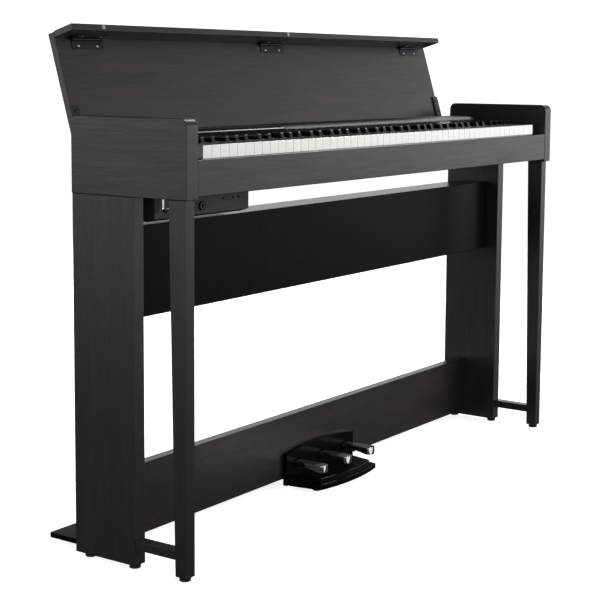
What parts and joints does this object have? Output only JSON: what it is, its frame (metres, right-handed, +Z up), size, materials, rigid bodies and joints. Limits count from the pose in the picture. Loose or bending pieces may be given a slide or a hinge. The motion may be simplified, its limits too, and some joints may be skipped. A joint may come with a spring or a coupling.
{
  "type": "digital piano on stand",
  "caption": "Slim console digital piano with an opening lid and hinged flap, on a stand of two panel legs, tapered front posts, back boards and a pedal unit.",
  "frame": {"origin": "on the floor, under the middle of the piano's box", "axes": "+X to the treble end, -Y to the player, +Z up"},
  "size_m": [1.346, 0.347, 0.9264],
  "materials": {
    "rosewood": "satin dark rosewood-grained laminate",
    "black_board": "satin black laminate",
    "top_cover": "satin dark grey",
    "gloss_control": "gloss black",
    "pedal_housing": "satin black",
    "charcoal_plastic": "matte charcoal",
    "black_key": "satin black",
    "white_key": "satin off-white",
    "speaker_cone": "matte black",
    "chrome": "polished",
    "black_metal": "satin black",
    "foot_rubber": "matte",
    "circuit": "green solder mask"
  },
  "bodies": {
    "case": {"left_side_board": "rosewood", "right_side_board": "rosewood", "key_bed": "black_board", "key_slip": "rosewood", "rear_panel": "black_board", "top_panel": "top_cover", "control_panel": "gloss_control", "left_key_block": "black_key", "right_key_block": "black_key", "key_frame": "charcoal_plastic", "circuit_board": "circuit", "white_keys": "white_key", "black_keys": "black_key", "left_leg": "rosewood", "right_leg": "rosewood", "left_front_post": "rosewood", "right_front_post": "rosewood", "left_stretcher": "rosewood", "right_stretcher": "rosewood", "left_leg_front_foot": "foot_rubber", "left_leg_rear_foot": "foot_rubber", "left_post_foot": "foot_rubber", "right_leg_front_foot": "foot_rubber", "right_leg_rear_foot": "foot_rubber", "right_post_foot": "foot_rubber", "lower_back_board": "rosewood", "rear_base_board": "black_board", "speaker_box": "black_board", "left_speaker": "speaker_cone", "right_speaker": "speaker_cone", "jack_box": "charcoal_plastic", "headphone_hook": "chrome", "pedal_plate": "pedal_housing", "pedal_axle": "chrome", "pedal_base": "pedal_housing"},
    "lid": {"lid_panel": "rosewood", "left_lid_arm": "black_metal", "right_lid_arm": "black_metal", "left_hinge_lid_leaf": "black_metal", "middle_hinge_lid_leaf": "black_metal", "right_hinge_lid_leaf": "black_metal"},
    "flap": {"lid_flap": "rosewood", "left_hinge_flap_leaf": "black_metal", "middle_hinge_flap_leaf": "black_metal", "right_hinge_flap_leaf": "black_metal"},
    "left_pedal": {"left_pedal": "chrome"},
    "middle_pedal": {"middle_pedal": "chrome"},
    "right_pedal": {"right_pedal": "chrome"},
    "volume_knob": {"volume_knob": "gloss_control"},
    "power_button": {"power_button": "gloss_control"},
    "key_a0": {"key_a0": "white_key"},
    "key_a_sharp0": {"key_a_sharp0": "black_key"},
    "key_b0": {"key_b0": "white_key"},
    "key_c1": {"key_c1": "white_key"},
    "key_c_sharp1": {"key_c_sharp1": "black_key"},
    "key_d1": {"key_d1": "white_key"},
    "key_d_sharp1": {"key_d_sharp1": "black_key"},
    "key_e1": {"key_e1": "white_key"},
    "key_f1": {"key_f1": "white_key"},
    "key_f_sharp1": {"key_f_sharp1": "black_key"}
  },
  "joints": [
    {"name": "lid_pivot", "type": "hinge", "parent": "case", "child": "lid", "pos_m": [0, 0.05, 0.7129], "axis": [1, 0, 0], "range_deg": [0, 106.74]},
    {"name": "flap_hinge", "type": "hinge", "parent": "lid", "child": "flap", "pos_m": [0, 0.14845, 0.89997], "axis": [1, 0, 0], "range_deg": [0, 90]},
    {"name": "left_pedal_pivot", "type": "hinge", "parent": "case", "child": "left_pedal", "pos_m": [-0.089, 0.0361, 0.05], "axis": [1, 0, 0], "range_deg": [0, 8], "stiffness_Nm_per_rad": 6, "springref_deg": -4.58},
    {"name": "middle_pedal_pivot", "type": "hinge", "parent": "case", "child": "middle_pedal", "pos_m": [0, 0.0361, 0.05], "axis": [1, 0, 0], "range_deg": [0, 8], "stiffness_Nm_per_rad": 6, "springref_deg": -4.58},
    {"name": "right_pedal_pivot", "type": "hinge", "parent": "case", "child": "right_pedal", "pos_m": [0.089, 0.0361, 0.05], "axis": [1, 0, 0], "range_deg": [0, 8], "stiffness_Nm_per_rad": 6, "springref_deg": -4.58},
    {"name": "volume_knob_turn", "type": "hinge", "parent": "case", "child": "volume_knob", "pos_m": [-0.5405, 0.0481, 0.74], "axis": [0, 0, 1], "range_deg": [-140, 140]},
    {"name": "power_button_press", "type": "slide", "parent": "case", "child": "power_button", "axis": [0, 0, -1], "range_m": [0, 0.0015], "stiffness_N_per_m": 300, "springref_m": -0.002},
    {"name": "key_a0_pivot", "type": "hinge", "parent": "case", "child": "key_a0", "pos_m": [-0.59925, 0.0441, 0.7027], "axis": [1, 0, 0], "range_deg": [0, 2.8], "stiffness_Nm_per_rad": 1, "springref_deg": -11.46},
    {"name": "key_a_sharp0_pivot", "type": "hinge", "parent": "case", "child": "key_a_sharp0", "pos_m": [-0.5835, 0.0441, 0.7027], "axis": [1, 0, 0], "range_deg": [0, 2.8], "stiffness_Nm_per_rad": 0.6, "springref_deg": -11.46},
    {"name": "key_b0_pivot", "type": "hinge", "parent": "case", "child": "key_b0", "pos_m": [-0.57575, 0.0441, 0.7027], "axis": [1, 0, 0], "range_deg": [0, 2.8], "stiffness_Nm_per_rad": 1, "springref_deg": -11.46},
    {"name": "key_c1_pivot", "type": "hinge", "parent": "case", "child": "key_c1", "pos_m": [-0.55225, 0.0441, 0.7027], "axis": [1, 0, 0], "range_deg": [0, 2.8], "stiffness_Nm_per_rad": 1, "springref_deg": -11.46},
    {"name": "key_c_sharp1_pivot", "type": "hinge", "parent": "case", "child": "key_c_sharp1", "pos_m": [-0.5433, 0.0441, 0.7027], "axis": [1, 0, 0], "range_deg": [0, 2.8], "stiffness_Nm_per_rad": 0.6, "springref_deg": -11.46},
    {"name": "key_d1_pivot", "type": "hinge", "parent": "case", "child": "key_d1", "pos_m": [-0.52875, 0.0441, 0.7027], "axis": [1, 0, 0], "range_deg": [0, 2.8], "stiffness_Nm_per_rad": 1, "springref_deg": -11.46},
    {"name": "key_d_sharp1_pivot", "type": "hinge", "parent": "case", "child": "key_d_sharp1", "pos_m": [-0.5142, 0.0441, 0.7027], "axis": [1, 0, 0], "range_deg": [0, 2.8], "stiffness_Nm_per_rad": 0.6, "springref_deg": -11.46},
    {"name": "key_e1_pivot", "type": "hinge", "parent": "case", "child": "key_e1", "pos_m": [-0.50525, 0.0441, 0.7027], "axis": [1, 0, 0], "range_deg": [0, 2.8], "stiffness_Nm_per_rad": 1, "springref_deg": -11.46},
    {"name": "key_f1_pivot", "type": "hinge", "parent": "case", "child": "key_f1", "pos_m": [-0.48175, 0.0441, 0.7027], "axis": [1, 0, 0], "range_deg": [0, 2.8], "stiffness_Nm_per_rad": 1, "springref_deg": -11.46},
    {"name": "key_f_sharp1_pivot", "type": "hinge", "parent": "case", "child": "key_f_sharp1", "pos_m": [-0.474, 0.0441, 0.7027], "axis": [1, 0, 0], "range_deg": [0, 2.8], "stiffness_Nm_per_rad": 0.6, "springref_deg": -11.46}
  ]
}
